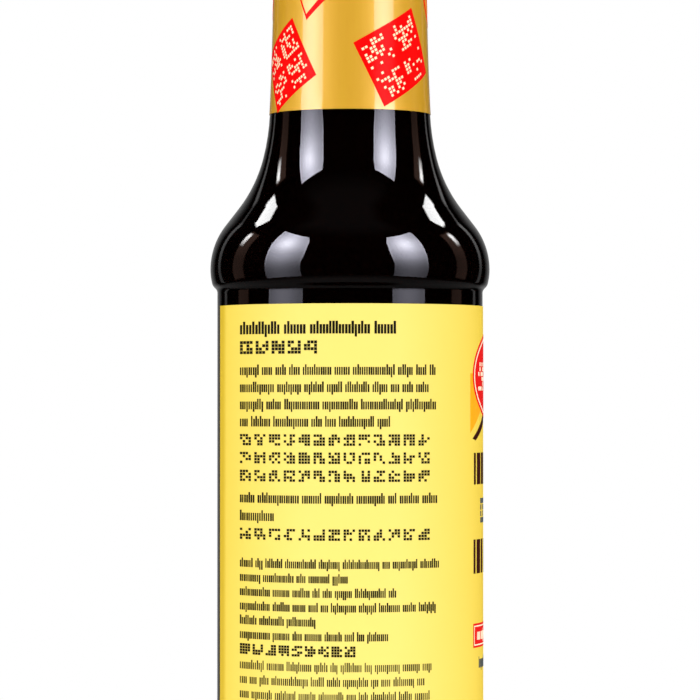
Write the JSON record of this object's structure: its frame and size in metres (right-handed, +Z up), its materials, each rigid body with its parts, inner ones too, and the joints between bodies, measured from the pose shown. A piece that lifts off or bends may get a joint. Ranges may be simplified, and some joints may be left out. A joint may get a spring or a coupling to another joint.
{
  "type": "soy sauce bottle",
  "caption": "Clear glass bottle of dark soy sauce, with a ribbed screw cap, a tamper band, a gold neck foil and a yellow wrap-round label in a shallow recess.",
  "frame": {"origin": "centre of the base, on the surface that the bottle stands on", "axes": "+Z up the bottle's axis; -Y faces the small print on the back of the label; +X faces the label's front panel"},
  "size_m": [0.068, 0.068, 0.265],
  "materials": {
    "clear_glass": "clear, gloss",
    "dark_sauce": "dark brown liquid, almost black",
    "yellow_paper": "coated paper, soft gloss",
    "gold_foil": "gold lacquered foil, satin",
    "cap_plastic": "moulded, soft gloss"
  },
  "bodies": {
    "root": {"glass_bottle": "clear_glass", "soy_sauce": "dark_sauce", "paper_label": "yellow_paper", "neck_foil": "gold_foil", "screw_cap": "cap_plastic", "tamper_band": "cap_plastic"}
  },
  "joints": []
}
